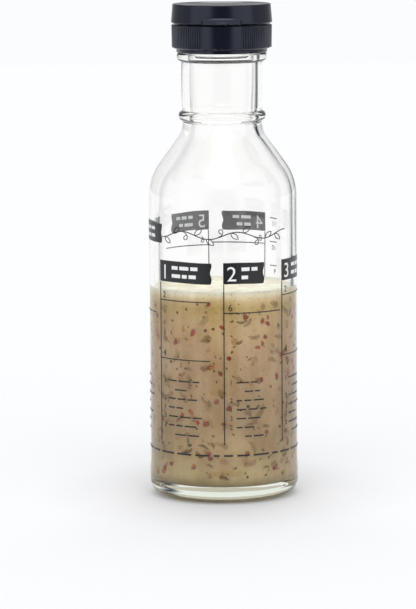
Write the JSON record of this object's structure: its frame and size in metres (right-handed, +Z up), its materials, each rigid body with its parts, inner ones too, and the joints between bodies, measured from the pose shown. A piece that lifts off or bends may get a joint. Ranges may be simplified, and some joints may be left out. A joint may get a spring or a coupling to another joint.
{
  "type": "salad dressing shaker bottle",
  "caption": "Round clear glass shaker bottle for salad dressing, with printed fill columns, a ribbed black screw cap and a hinged flip lid over a pour spout.",
  "frame": {"origin": "bottom centre of the base, on the table", "axes": "+Z up along the axis of the bottle, front of the cap (thumb lip) towards -Y, hinge towards +Y"},
  "size_m": [0.064, 0.064, 0.2115],
  "materials": {
    "clear_glass": "clear moulded flint glass",
    "dressing": "opaque oil and herb dressing",
    "ink": "fired black ceramic ink",
    "liner": "white foam liner",
    "spout_plastic": "moulded black polypropylene",
    "cap_plastic": "moulded black polypropylene, satin",
    "seal": "translucent soft silicone"
  },
  "bodies": {
    "bottle": {"bottle": "clear_glass", "dressing": "dressing", "flags": "ink", "scale_lines": "ink"},
    "liner": {"cap_liner": "liner"},
    "spout": {"pour_spout": "spout_plastic"},
    "cap": {"screw_cap": "cap_plastic"},
    "lid": {"flip_lid": "cap_plastic", "lid_seal": "seal"}
  },
  "joints": [
    {"name": "cap_lift_off", "type": "slide", "parent": "bottle", "child": "liner", "axis": [0, 0, 1], "range_m": [0, 0.04]},
    {"name": "thread_rise", "type": "slide", "parent": "liner", "child": "spout", "axis": [0, 0, 1], "range_m": [0, 0.0053]},
    {"name": "cap_turn", "type": "hinge", "parent": "spout", "child": "cap", "pos_m": [0, 0, 0.195], "axis": [0, 0, 1], "range_deg": [0, 450]},
    {"name": "lid_hinge", "type": "hinge", "parent": "cap", "child": "lid", "pos_m": [0, 0.023, 0.20305], "axis": [-1, 0, 0], "range_deg": [0, 120]}
  ],
  "couplings": [
    {"joint": "thread_rise", "follows": "cap_turn", "m_per_rad": 0.00067377}
  ]
}
